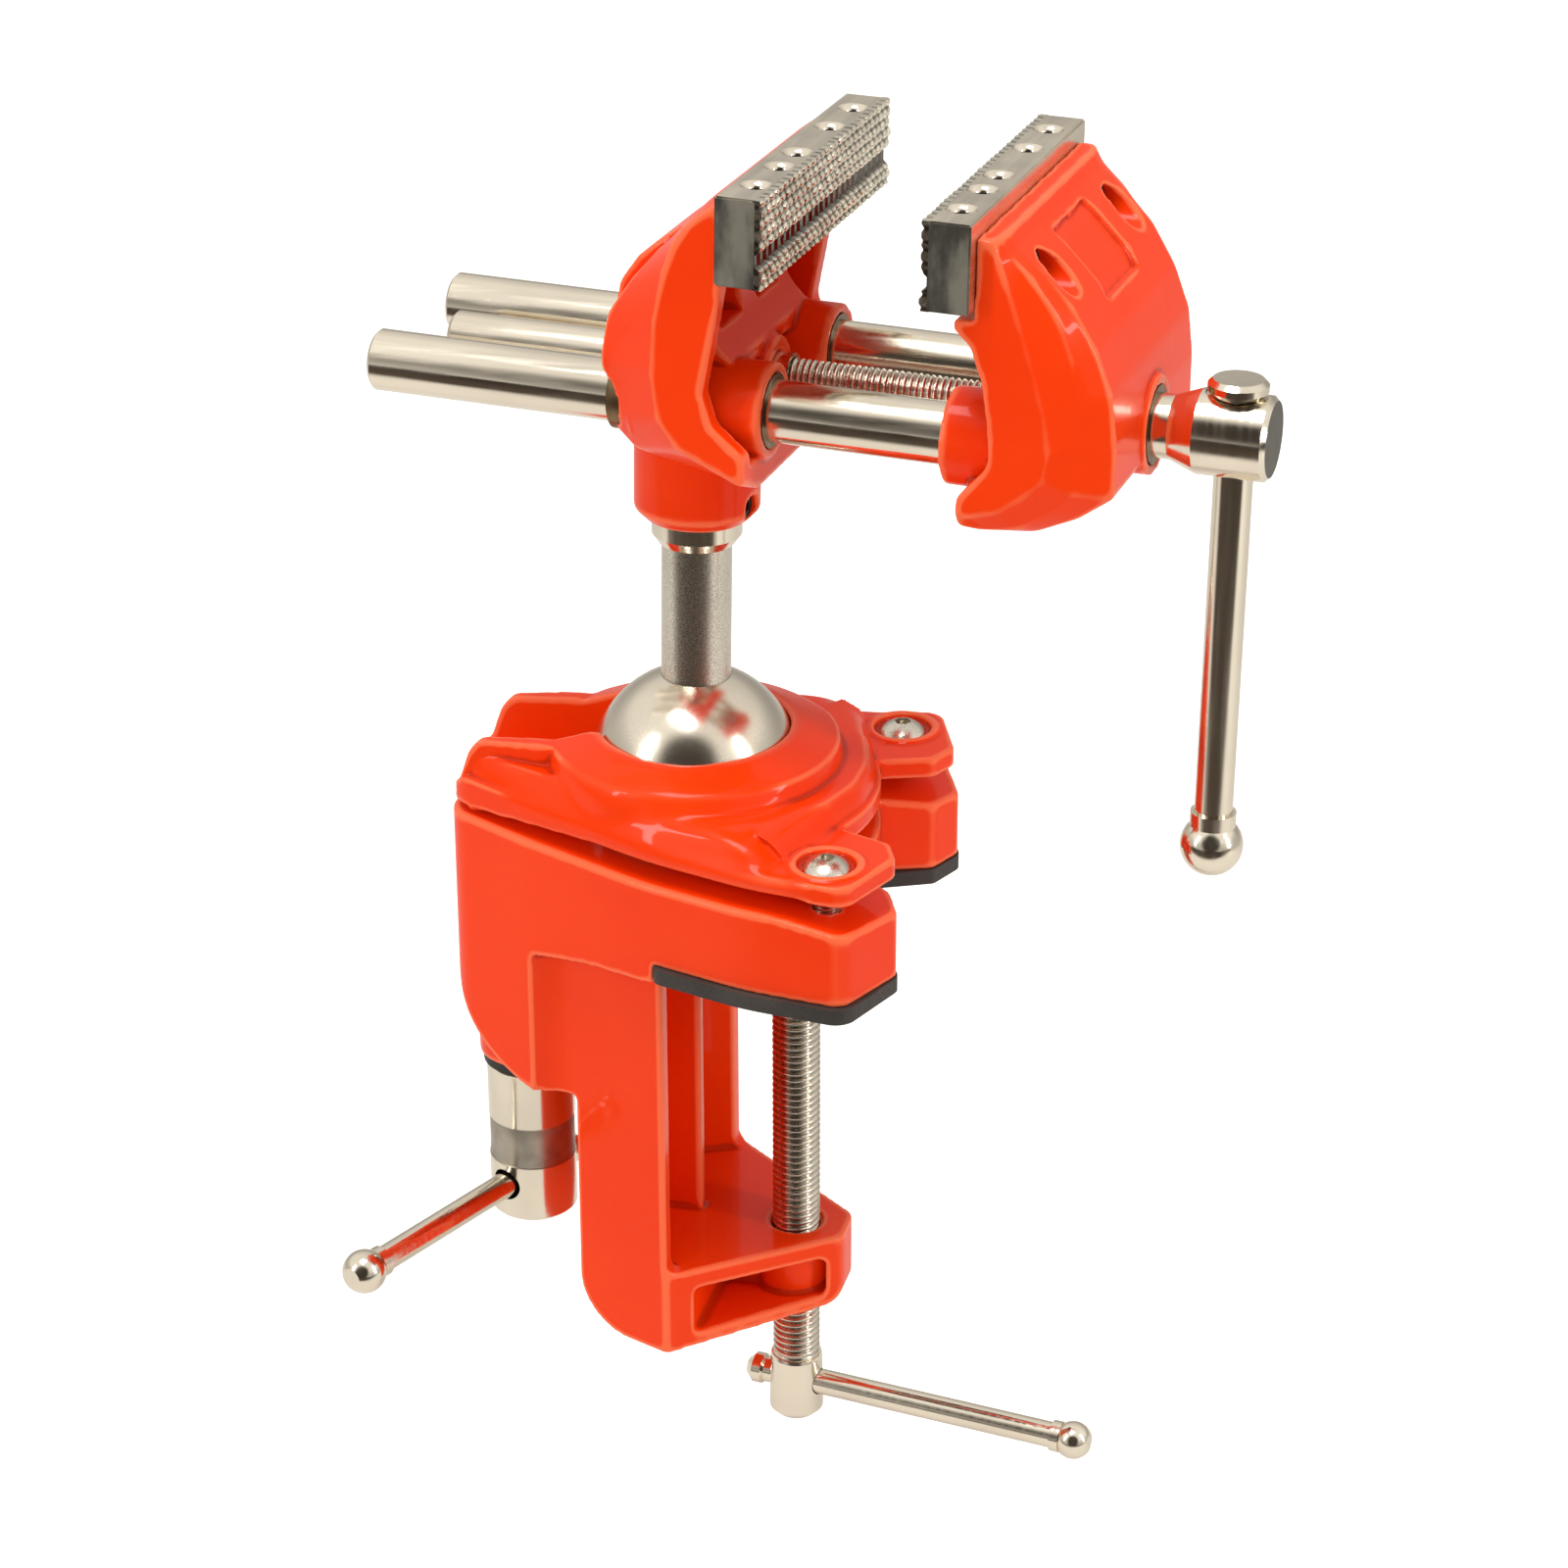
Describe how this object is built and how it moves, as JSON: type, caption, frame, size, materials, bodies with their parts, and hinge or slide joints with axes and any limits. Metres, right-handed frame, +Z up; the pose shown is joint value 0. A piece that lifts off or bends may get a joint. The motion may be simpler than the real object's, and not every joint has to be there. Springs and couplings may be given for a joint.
{
  "type": "ball vise",
  "caption": "Clamp-on bench vise with a two-rod jaw head on a ball joint, locked by a lever, and a screw clamp for the edge of a bench.",
  "frame": {"origin": "on the bench top, under the pads, on the axis of the clamp screw", "axes": "+Z up, +X over the bench towards the tips of the prongs, +Y to the left of someone looking along +X"},
  "size_m": [0.178, 0.0972, 0.2839],
  "materials": {
    "enamel": "glossy orange-red enamel",
    "bright_steel": "polished nickel plate",
    "brushed_steel": "brushed, satin",
    "ball_steel": "satin, finely ground",
    "jaw_steel": "nickel plate, knurled face, dark raw ends",
    "black_steel": "black oxide, satin",
    "bronze": "machined bronze",
    "rubber": "matt"
  },
  "bodies": {
    "base": {"base_casting": "enamel", "near_pad": "rubber", "far_pad": "rubber", "lid_bolts": "bright_steel", "lock_washer": "black_steel"},
    "lid": {"lid_casting": "enamel"},
    "stud": {"lock_stud": "brushed_steel", "lock_barrel": "brushed_steel"},
    "lock_nut_body": {"lock_nut": "bright_steel"},
    "lock_bar_body": {"lock_bar": "bright_steel", "lock_bar_ball": "bright_steel", "lock_bar_cap": "bright_steel"},
    "clamp_pad_body": {"clamp_foot": "brushed_steel"},
    "clamp_screw_body": {"clamp_screw": "bright_steel", "clamp_hub": "bright_steel"},
    "clamp_bar_body": {"clamp_bar": "bright_steel", "clamp_bar_ball": "bright_steel", "clamp_bar_cap": "bright_steel"},
    "cup_body": {"ball_cup": "bronze"},
    "ball_body": {"ball": "ball_steel", "neck": "brushed_steel", "neck_collar": "brushed_steel"},
    "vise_body": {"fixed_jaw_casting": "enamel", "fixed_jaw_plate": "jaw_steel", "fixed_plate_screws": "black_steel", "rod_bushes": "bronze", "nut_tube": "bright_steel", "neck_set_screw": "black_steel"},
    "moving_jaw_body": {"moving_jaw_casting": "enamel", "moving_jaw_plate": "jaw_steel", "moving_plate_screws": "black_steel", "near_guide_rod": "bright_steel", "far_guide_rod": "bright_steel", "rod_set_screws": "black_steel", "thrust_bush": "bronze"},
    "spindle_body": {"spindle_screw": "bright_steel", "spindle_clip": "black_steel", "spindle_head": "bright_steel"},
    "spindle_bar_body": {"spindle_bar": "bright_steel", "spindle_bar_ball": "bright_steel", "spindle_bar_cap": "bright_steel"}
  },
  "joints": [
    {"name": "lock_turn", "type": "hinge", "parent": "base", "child": "lock_nut_body", "pos_m": [-0.058, 0, -0.0414], "axis": [0, 0, -1], "range_deg": [0, 180]},
    {"name": "stud_lift", "type": "slide", "parent": "base", "child": "stud", "axis": [0, 0, 1], "range_m": [0, 0.00062531]},
    {"name": "lid_tilt", "type": "hinge", "parent": "base", "child": "lid", "pos_m": [0.00925, 0, 0.0276], "axis": [0, 1, 0], "range_deg": [0, 0.53275]},
    {"name": "lock_bar_slide", "type": "slide", "parent": "lock_nut_body", "child": "lock_bar_body", "axis": [-0.4003, -0.9164, 0], "range_m": [-0.03761, 0]},
    {"name": "clamp_slide", "type": "slide", "parent": "base", "child": "clamp_pad_body", "axis": [0, 0, 1], "range_m": [-0.0515, 0.009]},
    {"name": "clamp_turn", "type": "hinge", "parent": "clamp_pad_body", "child": "clamp_screw_body", "pos_m": [0, 0, -0.06], "axis": [0, 0, 1], "range_deg": [-12480, 2280]},
    {"name": "clamp_bar_slide", "type": "slide", "parent": "clamp_screw_body", "child": "clamp_bar_body", "axis": [0.9903, -0.1392, 0], "range_m": [-0.05205, 0]},
    {"name": "ball_roll", "type": "hinge", "parent": "base", "child": "cup_body", "pos_m": [-0.021, 0, 0.031], "axis": [1, 0, 0], "range_deg": [-30, 30]},
    {"name": "ball_pitch", "type": "hinge", "parent": "cup_body", "child": "ball_body", "pos_m": [-0.021, 0, 0.031], "axis": [0, 1, 0], "range_deg": [-88, 30]},
    {"name": "head_swivel", "type": "hinge", "parent": "ball_body", "child": "vise_body", "pos_m": [-0.021, 0, 0.031], "axis": [0.0079, 0.0332, 0.9994], "continuous": true},
    {"name": "jaw_slide", "type": "slide", "parent": "vise_body", "child": "moving_jaw_body", "axis": [0.9967, -0.0804, -0.0052], "range_m": [-0.0295, 0.03]},
    {"name": "spindle_turn", "type": "hinge", "parent": "moving_jaw_body", "child": "spindle_body", "pos_m": [0.03947, -0.00202, 0.11524], "axis": [0.9967, -0.0804, -0.0052], "range_deg": [-8640, 8700]},
    {"name": "spindle_bar_slide", "type": "slide", "parent": "spindle_body", "child": "spindle_bar_body", "axis": [0.0079, 0.0332, 0.9994], "range_m": [0, 0.06847]}
  ],
  "couplings": [
    {"joint": "stud_lift", "follows": "lock_turn", "m_per_rad": 0.00019894},
    {"joint": "lid_tilt", "follows": "lock_turn", "ratio": 0.0029583},
    {"joint": "spindle_turn", "follows": "jaw_slide", "rad_per_m": 5026.5},
    {"joint": "clamp_turn", "follows": "clamp_slide", "rad_per_m": 4188.8}
  ]
}
